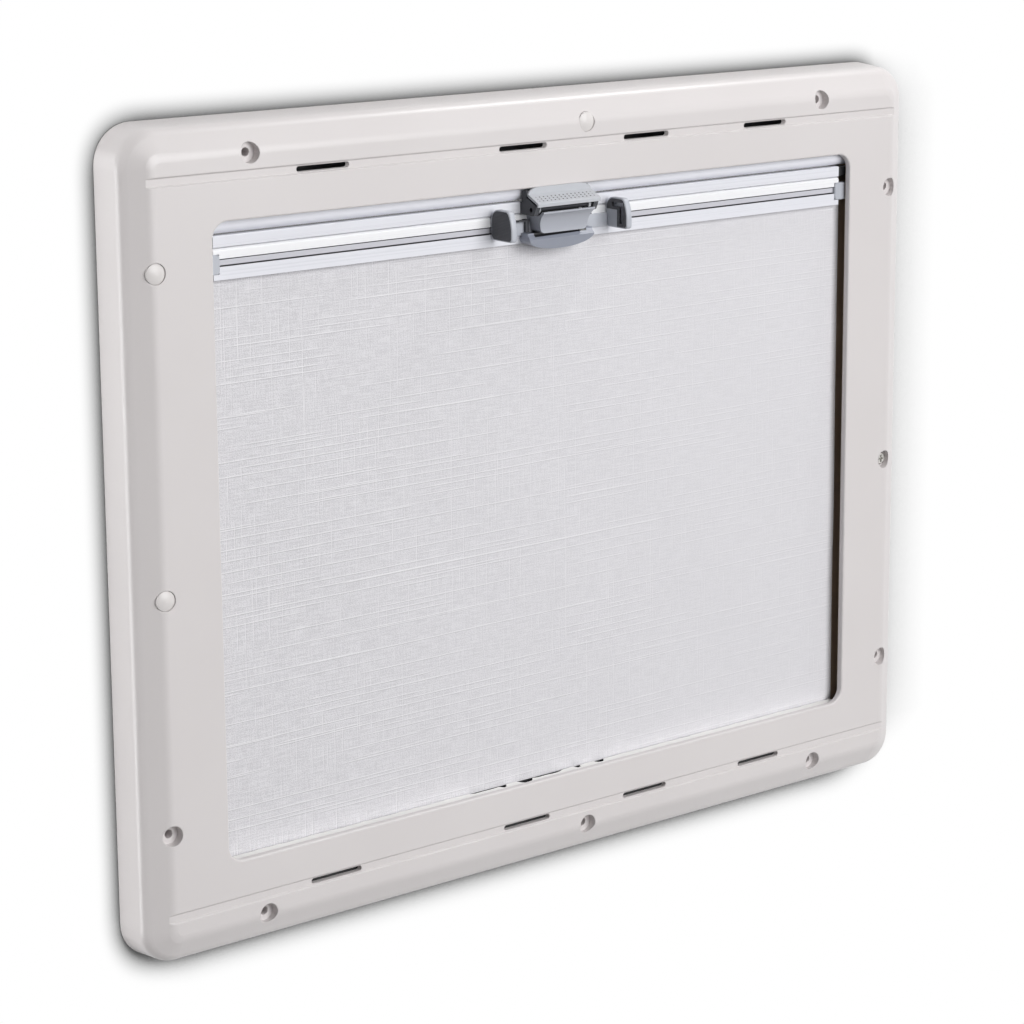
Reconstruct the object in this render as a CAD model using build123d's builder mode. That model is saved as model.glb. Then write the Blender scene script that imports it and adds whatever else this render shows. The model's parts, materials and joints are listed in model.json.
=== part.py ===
"""Caravan window: inside frame with a blackout roller blind and an insect screen.

Millimetres. +X is to the right seen from the room, +Y points out through the wall,
+Z is up. The origin is the middle of the frame on the wall plane, Y = 0.
"""

import os

from build123d import *

# Frame moulding
opening_width = 630.0
opening_height = 480.0
border = 72.0
frame_depth = 40.0
outer_corner = 30.0
opening_corner = 12.5
shell = 3.0
flank_wall = 3.6
flank_draft = 6.0
slope_width = 18.3
slope_drop = 10.5
core_slope_trim = 2.4
shoulder_radius = 11.0
crown_radius = 14.0
lip_width = 4.0
lip_depth = 5.0
lip_round = 1.4

# Screw places, recesses and caps
screw_ring = 47.5
screw_edge_inset = 33.5
screw_side_inset = 32.0
screw_middle_x = 29.0
screw_middle_z = -30.0
screw_hole = 6.5
recess_width = 15.4
recess_depth = 7.5
boss_wall = 2.5
cap_clearance = 0.2
cap_sink = 0.9
cap_crown = 0.9
screw_head_width = 11.0
screw_head_height = 3.2
screw_head_bevel = 1.6
screw_shank = 4.5
screw_length = 30.0

# Air groove and slots
groove_offset = 32.2
groove_width = 7.5
groove_depth = 1.7
groove_taper = 32.0
groove_end_margin = 16.0
vent_length = 46.4
vent_height = 4.2
vent_spread = 62.0
vent_end_inset = 96.5
vent_collar = 1.8
vent_collar_depth = 3.6

# Ribs that tie the screw bosses to the flank
rib_thickness = 2.0
rib_height = 26.0

# Rails, seen from the room below the top edge of the opening
rail_setback = 8.4
cassette_show = 10.4
screen_rail_height = 9.3
bead_height = 8.2
slot_height = 5.8
flange_height = 9.6
rail_gap = 0.5
rail_thickness = 6.5
flange_thickness = 1.8
bead_round = 2.4
rail_edge_round = 0.8
slot_depth = 1.6
line_width = 0.9
line_depth = 4.6
rail_end_gap = 5.0

# Runners on the ends of the rails
end_cap_height = 14.6
end_cap_drop = 4.8
end_cap_show = 10.0
end_cap_rise = 1.2
end_cap_fabric_gap = 0.4
end_cap_round = 3.0
end_cap_bevel = 0.7
end_block_height = 7.5
runner_end_gap = 1.0

# Guides behind the sides of the opening
guide_width = 21.0
guide_wall = 1.5
guide_cavity = 9.0
guide_inset = 1.0
guide_back_reach = 10.0

# Roller covers, rollers and end brackets
cassette_setback = 7.5
cassette_height = 33.0
cassette_depth = 29.0
cassette_wall = 1.5
cassette_round = 8.0
cassette_slot_height = 3.0
bracket_round = 5.0
cassette_overhang = 16.0
cassette_flange_height = 15.0
blind_cassette_drop = 3.0
bracket_thickness = 4.0
roller_width = 18.0
roll_thickness = 3.0
axle_width = 6.0
axle_clearance = 0.15
roller_end_gap = 1.0

# Fabrics
fabric_thickness = 1.0
fabric_setback = 14.0
fabric_side_gap = 0.5
fabric_slot_gap = 1.0

# Latch on the screen rail: a cradle with two covered cheeks and a rocking lever
latch_half_width = 31.0
cheek_thickness = 3.4
cover_thickness = 0.9
cheek_foot_out = 16.8
cheek_foot_z = -1.0
cheek_foot_round = 3.0
cheek_nose_out = 20.2
cheek_nose_z = 6.6
cheek_nose_round = 1.5
cheek_neck_z = 12.2
cheek_crest_out = 8.0
cheek_crest_z = 18.8
cheek_crest_round = 2.6
cradle_back = 2.0
shelf_back = 10.4
shelf_back_z = 15.4
shelf_front = 22.6
shelf_front_z = 9.4
shelf_front_round = 0.9
shelf_lip_z = 6.6
upstand_top_z = 20.6
upstand_shoulder = 12.0
lever_thickness = 1.8
lever_gap = 0.5
pivot_out = 13.5
pivot_z = 3.8
pivot_width = 3.0
pivot_clearance = 0.15
pivot_eye = 3.8
pivot_eye_depth = 1.6
ear_thickness = 2.4
ear_gap = 0.5
ear_radius = 3.2

# Pull handle on the blind rail
handle_half_width = 25.8
handle_foot_half_width = 22.5
handle_top_z = 2.4
handle_top_out = 22.4
handle_back_z = -1.4
handle_back_out = 15.5
handle_bottom_z = -14.9
handle_bottom_out = 15.7
handle_scoop = 3.0
handle_top_round = 0.7
handle_rim_width = 1.6
handle_rim_z = 1.0
handle_corner = 4.0
pull_half_width = 32.0
pull_top_z = -16.2
pull_top_out = 10.5
pull_edge_z = -19.6
pull_edge_out = 13.6
pull_bottom_z = -28.7
pull_bottom_out = 10.6
pull_wall = 2.6
hook_half_width = 20.0
hook_out = 9.4
hook_thickness = 2.4
hook_top_z = 5.8
hook_tooth_half_width = 4.0
hook_tooth_reach = 1.8
hook_tooth_height = 2.2

# Squeeze grips in the slot of the blind rail
grip_half_gap = 54.4
grip_width = 5.6
grip_core = 2.6
grip_rim = 1.3
grip_round = 3.4
grip_out = 24.6
grip_front_top_out = 17.0
grip_brow_z = -4.2
grip_top_z = 6.4
grip_shoulder_out = 6.5
grip_shoulder_z = 4.6
grip_base_z = -16.3
grip_toe_out = 5.6
grip_toe_z = -18.0
grip_front_low_z = -14.8
pad_proud = 0.2
recess_leg_out = 15.4
recess_leg_width = 3.6
recess_leg_height = 13.0
recess_arm_length = 10.5
recess_arm_height = 3.0
recess_top_z = 1.5
grip_recess_depth = 1.1
bar_top_z = -6.7
bar_height = 10.6
bar_thickness = 2.0
bar_gap = 0.5
bar_end_x = 22.0
key_clearance = 0.5
tunnel_clearance = 0.6

# Guides that hold the grips' bars on the blind rail
bar_guide_gap = 0.4
bar_guide_width = 3.4
bar_guide_wall = 1.5
bar_guide_front = 2.0
bar_guide_foot_gap = 0.3
bar_guide_ledge_length = 6.5
bar_guide_ledge = 1.0

# Places worked out from the sizes above
frame_width = opening_width + 2 * border
frame_height = opening_height + 2 * border
half_opening = opening_width / 2
top_edge = opening_height / 2
lip_back_y = -(frame_depth - lip_depth)
plateau_back_y = -(frame_depth - shell)
flank_rim_y = -(frame_depth - slope_drop)
rail_front_y = -(frame_depth - rail_setback)
core_slope_width = slope_width - core_slope_trim
core_slope_drop = core_slope_width * slope_drop / slope_width
cassette_front_y = -(frame_depth - cassette_setback)
cassette_back_y = cassette_front_y + cassette_depth
fabric_y = -(frame_depth - fabric_setback)
roll_radius = roller_width / 2 + roll_thickness
roller_y = fabric_y + roll_radius
seam_z = top_edge - cassette_show - screen_rail_height
rail_foot_z = -(bead_height + slot_height + flange_height)
rail_body_z = -(bead_height + slot_height + flange_thickness)
rail_half_length = half_opening - rail_end_gap
cassette_half_length = half_opening + cassette_overhang
screen_cassette_z = top_edge - cassette_show + cassette_height / 2
blind_cassette_z = -top_edge - blind_cassette_drop - cassette_height / 2
guide_inner_x = half_opening + guide_inset
guide_outer_x = guide_inner_x + guide_width
guide_back_x = guide_inner_x - guide_back_reach
runner_end_x = guide_outer_x - guide_wall - runner_end_gap
guide_front_y = lip_back_y
guide_back_y = guide_front_y + guide_cavity + 2 * guide_wall
cap_radius = recess_width / 2 - cap_clearance
recess_floor_y = -(frame_depth - recess_depth)
screw_end_x = half_opening - screw_edge_inset
screw_end_z = top_edge - screw_side_inset
vent_end_x = half_opening - vent_end_inset
fabric_front = fabric_setback - rail_setback - fabric_thickness / 2
end_cap_depth = end_cap_rise + fabric_front - end_cap_fabric_gap
bar_front = bar_gap + bar_thickness
tunnel_depth = bar_front + tunnel_clearance
tunnel_height = bar_height + 2 * tunnel_clearance
tunnel_middle = (tunnel_depth / 2, bar_top_z - bar_height / 2)

side_screws = [
    (sign * (half_opening + screw_ring), z)
    for sign in (-1, 1)
    for z in (screw_end_z, screw_middle_z, -screw_end_z)
]
edge_screws = [
    (x, sign * (top_edge + screw_ring))
    for sign in (-1, 1)
    for x in (-screw_end_x, screw_middle_x, screw_end_x)
]
capped_screws = {
    "screw_cap_left_upper": (-(half_opening + screw_ring), screw_end_z),
    "screw_cap_left_middle": (-(half_opening + screw_ring), screw_middle_z),
    "screw_cap_top_middle": (screw_middle_x, top_edge + screw_ring),
}
fitted_screw = (half_opening + screw_ring, screw_middle_z)
vent_columns = (-vent_end_x, screw_middle_x - vent_spread, screw_middle_x + vent_spread, vent_end_x)
vent_places = [(x, sign * (top_edge + groove_offset)) for sign in (-1, 1) for x in vent_columns]

wall_plane = Plane.XZ
front_plane = Plane.XZ.offset(frame_depth)
plateau_back_plane = Plane.XZ.offset(frame_depth - shell)
# Section plane of rails and fittings: local x runs into the room from the rail's face,
# local y runs up from the seam between the two rails.
rail_section = Plane(origin=(0, rail_front_y, seam_z), x_dir=(0, -1, 0), z_dir=(-1, 0, 0))
rail_face = Plane(origin=(0, rail_front_y, seam_z), x_dir=(1, 0, 0), z_dir=(0, -1, 0))

os.makedirs("parts", exist_ok=True)


def save(builder, name):
    """Label a finished piece and write it as its own file."""
    builder.part.label = name
    export_step(builder.part, f"parts/{name}.step")


# Hollow of the inside frame, with room left for the lip, screw bosses, slot collars and ribs
with BuildPart() as frame_core:
    with BuildSketch(wall_plane):
        RectangleRounded(
            frame_width - 2 * flank_wall, frame_height - 2 * flank_wall, outer_corner - flank_wall
        )
    extrude(amount=frame_depth - shell, taper=flank_draft)
    core_front = faces().sort_by(Axis.Y)[0]
    chamfer(
        core_front.edges(), length=core_slope_width, length2=core_slope_drop, reference=core_front
    )
    with BuildSketch(plateau_back_plane):
        RectangleRounded(
            opening_width + 2 * lip_width,
            opening_height + 2 * lip_width,
            opening_corner + lip_width,
        )
    extrude(amount=-(lip_depth - shell), mode=Mode.SUBTRACT)
    with BuildSketch(plateau_back_plane):
        with Locations(*vent_places):
            SlotOverall(vent_length + 2 * vent_collar, vent_height + 2 * vent_collar)
    extrude(amount=-vent_collar_depth, mode=Mode.SUBTRACT)
    with BuildSketch(plateau_back_plane):
        with Locations(*side_screws, *edge_screws):
            Circle(recess_width / 2 + boss_wall)
    extrude(amount=-(recess_depth + boss_wall - shell), mode=Mode.SUBTRACT)
    with BuildSketch(wall_plane):
        with Locations(*side_screws, *edge_screws):
            Circle(screw_hole / 2 + boss_wall)
    extrude(amount=frame_depth - recess_depth, mode=Mode.SUBTRACT)
    with BuildSketch(plateau_back_plane):
        for x, z in side_screws:
            toward = 1 if x > 0 else -1
            with Locations((x + toward * (border - screw_ring) / 2, z)):
                Rectangle(border - screw_ring, rib_thickness)
        for x, z in edge_screws:
            toward = 1 if z > 0 else -1
            with Locations((x, z + toward * (border - screw_ring) / 2)):
                Rectangle(rib_thickness, border - screw_ring)
    extrude(amount=-rib_height, mode=Mode.SUBTRACT)


# Inside frame: one moulded shell with drafted flanks and a sloped band, open towards the wall
with BuildPart() as inner_frame:
    with BuildSketch(wall_plane):
        RectangleRounded(frame_width, frame_height, outer_corner)
    extrude(amount=frame_depth, taper=flank_draft)
    front = faces().sort_by(Axis.Y)[0]
    chamfer(front.edges(), length=slope_width, length2=slope_drop, reference=front)
    plateau_rim = faces().sort_by(Axis.Y)[0].edges()
    flank_rim = edges().filter_by_position(Axis.Y, flank_rim_y - shell, flank_rim_y + shell)
    fillet(plateau_rim, radius=crown_radius)
    fillet(flank_rim, radius=shoulder_radius)
    add(frame_core.part, mode=Mode.SUBTRACT)

    with BuildSketch(wall_plane):
        RectangleRounded(opening_width, opening_height, opening_corner)
    extrude(amount=frame_depth, mode=Mode.SUBTRACT)
    opening_rim = faces().sort_by(Axis.Y)[0].inner_wires()[0].edges()
    fillet(opening_rim, radius=lip_round)

    with Locations(front_plane):
        with Locations(*side_screws, *edge_screws):
            CounterBoreHole(screw_hole / 2, recess_width / 2, recess_depth)
    with BuildSketch(front_plane):
        for sign in (-1, 1):
            with Locations((0, sign * (top_edge + groove_offset))):
                SlotOverall(frame_width - 2 * groove_end_margin, groove_width)
    extrude(amount=-groove_depth, taper=groove_taper, mode=Mode.SUBTRACT)
    with BuildSketch(wall_plane):
        with Locations(*vent_places):
            SlotOverall(vent_length, vent_height)
    extrude(amount=frame_depth, mode=Mode.SUBTRACT)
save(inner_frame, "inner_frame")


# Domed caps pressed into three of the screw recesses
dome_height = cap_sink + cap_crown
dome_radius = (cap_radius**2 + dome_height**2) / (2 * dome_height)
for name, (x, z) in capped_screws.items():
    with BuildPart() as screw_cap:
        with BuildSketch(Plane(origin=(x, recess_floor_y, z), x_dir=(1, 0, 0), z_dir=(0, 0, 1))):
            with BuildLine():
                Polyline(
                    (0, -recess_depth - cap_crown),
                    (0, 0),
                    (cap_radius, 0),
                    (cap_radius, cap_sink - recess_depth),
                )
                RadiusArc(
                    (cap_radius, cap_sink - recess_depth),
                    (0, -recess_depth - cap_crown),
                    dome_radius,
                )
            make_face()
        revolve(axis=Axis((x, 0, z), (0, 1, 0)))
    save(screw_cap, name)


# The one fixing screw left in its recess
head_plane = Plane(
    origin=(fitted_screw[0], recess_floor_y, fitted_screw[1]), x_dir=(1, 0, 0), z_dir=(0, -1, 0)
)
with BuildPart() as fixing_screw:
    with BuildSketch(head_plane):
        Circle(screw_head_width / 2)
    extrude(amount=screw_head_height)
    chamfer(faces().sort_by(Axis.Y)[0].edges(), length=screw_head_bevel)
    with BuildSketch(head_plane):
        Circle(screw_shank / 2)
    extrude(amount=-screw_length)
save(fixing_screw, "fixing_screw")


# Guide channels behind the sides of the opening, each with a long leg behind the cloth
for side, sign in (("left", -1), ("right", 1)):
    guide_y = (guide_front_y + guide_back_y) / 2
    back_leg_x = sign * (guide_back_x + guide_inner_x) / 2
    with BuildPart() as guide:
        with BuildSketch(Plane.XY.offset(-top_edge - blind_cassette_drop)):
            with Locations((sign * (guide_inner_x + guide_outer_x) / 2, guide_y)):
                Rectangle(guide_width, guide_back_y - guide_front_y)
            with Locations((sign * (guide_inner_x + guide_outer_x - guide_wall) / 2, guide_y)):
                Rectangle(guide_width - guide_wall, guide_cavity, mode=Mode.SUBTRACT)
            with Locations((back_leg_x, guide_back_y - guide_wall / 2)):
                Rectangle(guide_back_reach, guide_wall)
        extrude(amount=opening_height - cassette_show + blind_cassette_drop)
    save(guide, f"guide_{side}")


# Roller covers: rounded channels, open to the wall and slotted where the cloth leaves;
# the upper one has a back flange that closes the space behind the air slots
for name, middle_z, toward_opening in (
    ("screen_cassette", screen_cassette_z, -1),
    ("blind_cassette", blind_cassette_z, 1),
):
    middle_y = (cassette_front_y + cassette_back_y) / 2
    slot_front_y = fabric_y - fabric_thickness / 2 - fabric_slot_gap
    slot_z = middle_z + toward_opening * (cassette_height - cassette_slot_height) / 2
    with BuildPart() as cassette:
        with BuildSketch(Plane.YZ):
            with Locations((middle_y, middle_z)):
                Rectangle(cassette_depth, cassette_height)
            fillet(vertices().sort_by(Axis.X)[:2], radius=cassette_round)
            with BuildSketch(mode=Mode.SUBTRACT):
                with Locations((middle_y + cassette_wall, middle_z)):
                    Rectangle(cassette_depth, cassette_height - 2 * cassette_wall)
                fillet(vertices().sort_by(Axis.X)[:2], radius=cassette_round - cassette_wall)
            with Locations(((slot_front_y + cassette_back_y) / 2, slot_z)):
                Rectangle(
                    cassette_back_y - slot_front_y, cassette_slot_height, mode=Mode.SUBTRACT
                )
            if name == "screen_cassette":
                flange_z = middle_z + (cassette_height + cassette_flange_height) / 2
                with Locations((cassette_back_y - cassette_wall / 2, flange_z)):
                    Rectangle(cassette_wall, cassette_flange_height)
        extrude(amount=cassette_half_length, both=True)
    save(cassette, name)


# End brackets: each carries a roller's axle and closes the end of its cover
for row, middle_z in (("screen", screen_cassette_z), ("blind", blind_cassette_z)):
    for side, sign in (("left", -1), ("right", 1)):
        with BuildPart() as bracket:
            with BuildSketch(Plane.YZ.offset(sign * cassette_half_length)):
                with Locations(((plateau_back_y + cassette_back_y) / 2, middle_z)):
                    Rectangle(cassette_back_y - plateau_back_y, cassette_height)
                fillet(vertices().sort_by(Axis.X)[-2:], radius=bracket_round)
                with Locations((roller_y, middle_z)):
                    Circle(axle_width / 2 + axle_clearance, mode=Mode.SUBTRACT)
            extrude(amount=sign * bracket_thickness)
        save(bracket, f"{row}_bracket_{side}")


# Rollers with their axle ends
for row, middle_z in (("screen", screen_cassette_z), ("blind", blind_cassette_z)):
    with BuildPart() as roller:
        with BuildSketch(Plane.YZ):
            with Locations((roller_y, middle_z)):
                Circle(roller_width / 2)
        extrude(amount=cassette_half_length - roller_end_gap, both=True)
        with BuildSketch(Plane.YZ):
            with Locations((roller_y, middle_z)):
                Circle(axle_width / 2)
        extrude(amount=cassette_half_length + bracket_thickness, both=True)
    save(roller, f"{row}_roller")


# Cloths: each is wound on its roller and runs to its rail
cloth_half_width = guide_inner_x - fabric_side_gap
for name, middle_z, end_z in (
    ("flyscreen", screen_cassette_z, seam_z + screen_rail_height - rail_gap),
    ("blind_fabric", blind_cassette_z, seam_z + rail_body_z),
):
    with BuildPart() as cloth:
        with BuildSketch(Plane.YZ):
            with Locations((roller_y, middle_z)):
                Circle(roll_radius)
                Circle(roller_width / 2, mode=Mode.SUBTRACT)
            with Locations((roller_y - roll_radius + fabric_thickness / 2, (middle_z + end_z) / 2)):
                Rectangle(fabric_thickness, abs(middle_z - end_z))
        extrude(amount=cloth_half_width, both=True)
    save(cloth, name)


# Screen rail: a plain bar with softened long edges
with BuildPart() as screen_rail:
    with BuildSketch(rail_section):
        with Locations((-rail_thickness / 2, (screen_rail_height - rail_gap) / 2)):
            Rectangle(rail_thickness, screen_rail_height - rail_gap)
        fillet(vertices().sort_by(Axis.X)[-2:], radius=rail_edge_round)
    extrude(amount=rail_half_length, both=True)
save(screen_rail, "screen_rail")


# Blind rail: a rounded bead, a slot for the grips between two fine lines, and a thin flange
end_cap_z = -end_cap_drop - end_cap_height / 2
with BuildPart() as blind_rail:
    with BuildSketch(rail_section):
        with Locations((-rail_thickness / 2, (rail_body_z - rail_gap) / 2)):
            Rectangle(rail_thickness, -rail_body_z - rail_gap)
        fillet(vertices().sort_by(Axis.X)[-2:].sort_by(Axis.Y)[-1:], radius=bead_round)
        with Locations((-flange_thickness / 2, (rail_body_z + rail_foot_z) / 2)):
            Rectangle(flange_thickness, rail_body_z - rail_foot_z)
        with Locations((-slot_depth / 2, -bead_height - slot_height / 2)):
            Rectangle(slot_depth, slot_height, mode=Mode.SUBTRACT)
        for line_z in (-bead_height - line_width / 2, -bead_height - slot_height + line_width / 2):
            with Locations((-line_depth / 2, line_z)):
                Rectangle(line_depth, line_width, mode=Mode.SUBTRACT)
    extrude(amount=rail_half_length, both=True)
    for sign in (-1, 1):
        with Locations((sign * half_opening, rail_front_y + rail_thickness / 2, seam_z + end_cap_z)):
            Box(2 * end_cap_show, 2 * rail_thickness, end_cap_height, mode=Mode.SUBTRACT)
save(blind_rail, "blind_rail")


# Runners: caps on the blind rail and plain blocks on the screen rail
for side, sign in (("left", -1), ("right", 1)):
    cap_inner_x = half_opening - end_cap_show
    with BuildPart() as end_cap:
        with BuildSketch(rail_face.offset(end_cap_rise)):
            with Locations((sign * (cap_inner_x + runner_end_x) / 2, end_cap_z)):
                RectangleRounded(runner_end_x - cap_inner_x, end_cap_height, end_cap_round)
        extrude(amount=-end_cap_depth)
        chamfer(faces().sort_by(Axis.Y)[0].edges(), length=end_cap_bevel)
    save(end_cap, f"blind_rail_end_{side}")

    block_z = (screen_rail_height - rail_gap) / 2
    with BuildPart() as end_block:
        with BuildSketch(rail_face):
            with Locations((sign * (rail_half_length + runner_end_x) / 2, block_z)):
                Rectangle(runner_end_x - rail_half_length, end_block_height)
        extrude(amount=-rail_thickness)
    save(end_block, f"screen_rail_end_{side}")


# Outline of a latch cheek in the rail section
with BuildSketch() as cheek_shape:
    with BuildLine():
        Polyline(
            (0, 0),
            (cheek_foot_out, cheek_foot_z),
            (cheek_nose_out, cheek_nose_z),
            (shelf_back - lever_gap, cheek_neck_z),
            (cheek_crest_out, cheek_neck_z),
            (cheek_crest_out, cheek_crest_z),
            (cradle_back, cheek_crest_z),
            (cradle_back, screen_rail_height - rail_gap),
            (0, screen_rail_height - rail_gap),
            close=True,
        )
    make_face()
    for corner, corner_round in (
        ((cheek_foot_out, cheek_foot_z), cheek_foot_round),
        ((cheek_nose_out, cheek_nose_z), cheek_nose_round),
        ((cheek_crest_out, cheek_crest_z), cheek_crest_round),
        ((cradle_back, cheek_crest_z), cheek_crest_round),
    ):
        fillet(vertices().sort_by_distance(corner)[0], radius=corner_round)

# Latch cradle: a back plate on the screen rail, two cheeks and the pivot pin between them
cheek_outer_x = latch_half_width - cover_thickness
with BuildPart() as latch_cradle:
    for sign in (-1, 1):
        with BuildSketch(rail_section.offset(-sign * (cheek_outer_x - cheek_thickness))):
            add(cheek_shape.sketch)
        extrude(amount=-sign * cheek_thickness)
    with BuildSketch(rail_section):
        with Locations((cradle_back / 2, (screen_rail_height - rail_gap) / 2)):
            Rectangle(cradle_back, screen_rail_height - rail_gap)
    extrude(amount=cheek_outer_x, both=True)
    with BuildSketch(rail_section):
        with Locations((pivot_out, pivot_z)):
            Circle(pivot_width / 2)
    extrude(amount=cheek_outer_x, both=True)
    for sign in (-1, 1):
        with BuildSketch(rail_section.offset(-sign * cheek_outer_x)):
            with Locations((pivot_out, pivot_z)):
                Circle(pivot_eye / 2)
        extrude(amount=sign * pivot_eye_depth, mode=Mode.SUBTRACT)
save(latch_cradle, "latch_cradle")


# Covers on the outer faces of the cheeks, each with an eye over the pin
for side, sign in (("left", -1), ("right", 1)):
    with BuildPart() as cover:
        with BuildSketch(rail_section.offset(-sign * cheek_outer_x)):
            add(cheek_shape.sketch)
            with Locations((pivot_out, pivot_z)):
                Circle(pivot_eye / 2, mode=Mode.SUBTRACT)
        extrude(amount=-sign * cover_thickness)
    save(cover, f"latch_cover_{side}")


# Latch lever: a round-shouldered upstand, a sloping thumb shelf and two ears on the pin
with BuildPart() as latch_lever:
    with BuildSketch(rail_section):
        with BuildLine():
            Polyline(
                (shelf_back, upstand_top_z),
                (shelf_back, shelf_back_z),
                (shelf_front, shelf_front_z),
                (shelf_front, shelf_lip_z),
                (shelf_front - lever_thickness, shelf_lip_z),
                (shelf_front - lever_thickness, shelf_front_z - lever_thickness / 2),
                (shelf_back - lever_thickness / 2, shelf_back_z - lever_thickness),
                (shelf_back - lever_thickness, shelf_back_z),
                (shelf_back - lever_thickness, upstand_top_z),
                close=True,
            )
        make_face()
        fillet(
            vertices().sort_by_distance((shelf_front, shelf_front_z))[0], radius=shelf_front_round
        )
    extrude(amount=latch_half_width, both=True)
    with BuildSketch(rail_face):
        with Locations((0, (shelf_lip_z + shelf_back_z) / 2)):
            Rectangle(2 * latch_half_width, shelf_back_z - shelf_lip_z)
        with Locations((0, (shelf_back_z + upstand_top_z) / 2)):
            Rectangle(
                2 * (latch_half_width - upstand_shoulder), upstand_top_z - shelf_back_z
            )
        for sign in (-1, 1):
            with Locations((sign * (latch_half_width - upstand_shoulder), shelf_back_z)):
                Ellipse(upstand_shoulder, upstand_top_z - shelf_back_z)
    extrude(amount=shelf_front, mode=Mode.INTERSECT)
    ear_x = cheek_outer_x - cheek_thickness - ear_gap - ear_thickness / 2
    for sign in (-1, 1):
        with BuildSketch(rail_section.offset(-sign * ear_x)):
            with Locations((pivot_out, pivot_z)):
                Circle(ear_radius)
            with Locations((pivot_out, (pivot_z + cheek_neck_z) / 2)):
                Rectangle(2 * ear_radius, cheek_neck_z - pivot_z)
            with Locations((pivot_out, pivot_z)):
                Circle(pivot_width / 2 + pivot_clearance, mode=Mode.SUBTRACT)
        extrude(amount=ear_thickness / 2, both=True)
save(latch_lever, "latch_lever")


# Pull handle on the blind rail: a scooped finger plate over a curved pull lip
with BuildPart() as blind_handle:
    with BuildSketch(rail_section):
        with BuildLine():
            Polyline(
                (0, handle_bottom_z),
                (0, handle_back_z),
                (handle_back_out, handle_back_z),
                (handle_top_out - handle_rim_width, handle_top_z),
                (handle_top_out, handle_top_z),
                (handle_top_out, handle_rim_z),
            )
            ThreePointArc(
                (handle_top_out, handle_rim_z),
                (
                    (handle_top_out + handle_bottom_out) / 2 - handle_scoop,
                    (handle_rim_z + handle_bottom_z) / 2,
                ),
                (handle_bottom_out, handle_bottom_z),
            )
            Line((handle_bottom_out, handle_bottom_z), (0, handle_bottom_z))
        make_face()
        fillet(
            vertices().sort_by_distance((handle_top_out, handle_top_z))[0], radius=handle_top_round
        )
    extrude(amount=handle_half_width, both=True)
    with BuildSketch(rail_face):
        with BuildLine():
            Polyline(
                (-handle_half_width, handle_top_z),
                (handle_half_width, handle_top_z),
                (handle_foot_half_width, handle_bottom_z),
                (-handle_foot_half_width, handle_bottom_z),
                close=True,
            )
        make_face()
        fillet(vertices().sort_by(Axis.Y)[:2], radius=handle_corner)
    extrude(amount=handle_top_out, mode=Mode.INTERSECT)
    with BuildSketch(rail_section):
        with Locations(tunnel_middle):
            Rectangle(tunnel_depth, tunnel_height)
    extrude(amount=handle_half_width, both=True, mode=Mode.SUBTRACT)
save(blind_handle, "blind_handle")


# Pull lip under the handle: a tongue with a curved lower edge in front of the cloth
with BuildPart() as pull_lip:
    with BuildSketch(rail_section):
        with BuildLine():
            Polyline(
                (0, handle_bottom_z),
                (pull_top_out, handle_bottom_z),
                (pull_top_out, pull_top_z),
                (pull_edge_out, pull_edge_z),
                (pull_bottom_out, pull_bottom_z),
                (pull_bottom_out - pull_wall, pull_bottom_z),
                (pull_top_out - pull_wall, rail_foot_z),
                (0, rail_foot_z),
                close=True,
            )
        make_face()
    extrude(amount=pull_half_width, both=True)
    with BuildSketch(rail_face):
        with Locations((0, (handle_bottom_z + pull_edge_z) / 2)):
            Rectangle(2 * pull_half_width, handle_bottom_z - pull_edge_z)
        with Locations((0, pull_edge_z)):
            Ellipse(pull_half_width, pull_edge_z - pull_bottom_z)
    extrude(amount=pull_edge_out, mode=Mode.INTERSECT)
    with BuildSketch(rail_section):
        with Locations(tunnel_middle):
            Rectangle(tunnel_depth, tunnel_height)
    extrude(amount=pull_half_width, both=True, mode=Mode.SUBTRACT)
save(pull_lip, "pull_lip")


# Hook plate behind the handle's top, with the tooth that the lever holds
with BuildPart() as latch_hook:
    with BuildSketch(rail_section):
        with Locations((hook_out - hook_thickness / 2, (handle_back_z + hook_top_z) / 2)):
            Rectangle(hook_thickness, hook_top_z - handle_back_z)
    extrude(amount=hook_half_width, both=True)
    with BuildSketch(rail_section):
        with Locations((hook_out + hook_tooth_reach / 2, hook_top_z - hook_tooth_height / 2)):
            Rectangle(hook_tooth_reach, hook_tooth_height)
    extrude(amount=hook_tooth_half_width, both=True)
save(latch_hook, "latch_hook")


# Guides on the blind rail: each bridges a grip's bar beside the handle
for side, sign in (("left", -1), ("right", 1)):
    guide_near_x = handle_half_width + bar_guide_gap
    bridge_top_z = bar_top_z + tunnel_clearance + bar_guide_wall
    bridge_foot_z = handle_bottom_z + bar_guide_foot_gap
    bridge_out = tunnel_depth + bar_guide_front
    ledge_z = bar_top_z + tunnel_clearance + bar_guide_ledge / 2
    with BuildPart() as bar_guide:
        with BuildSketch(rail_section.offset(-sign * guide_near_x)):
            with Locations((bridge_out / 2, (bridge_top_z + bridge_foot_z) / 2)):
                Rectangle(bridge_out, bridge_top_z - bridge_foot_z)
            with Locations(tunnel_middle):
                Rectangle(tunnel_depth, tunnel_height, mode=Mode.SUBTRACT)
        extrude(amount=-sign * bar_guide_width)
        with BuildSketch(rail_section.offset(-sign * guide_near_x)):
            with Locations((bridge_out / 2, ledge_z)):
                Rectangle(bridge_out, bar_guide_ledge)
        extrude(amount=-sign * (bar_guide_width + bar_guide_ledge_length))
    save(bar_guide, f"bar_guide_{side}")


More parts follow.
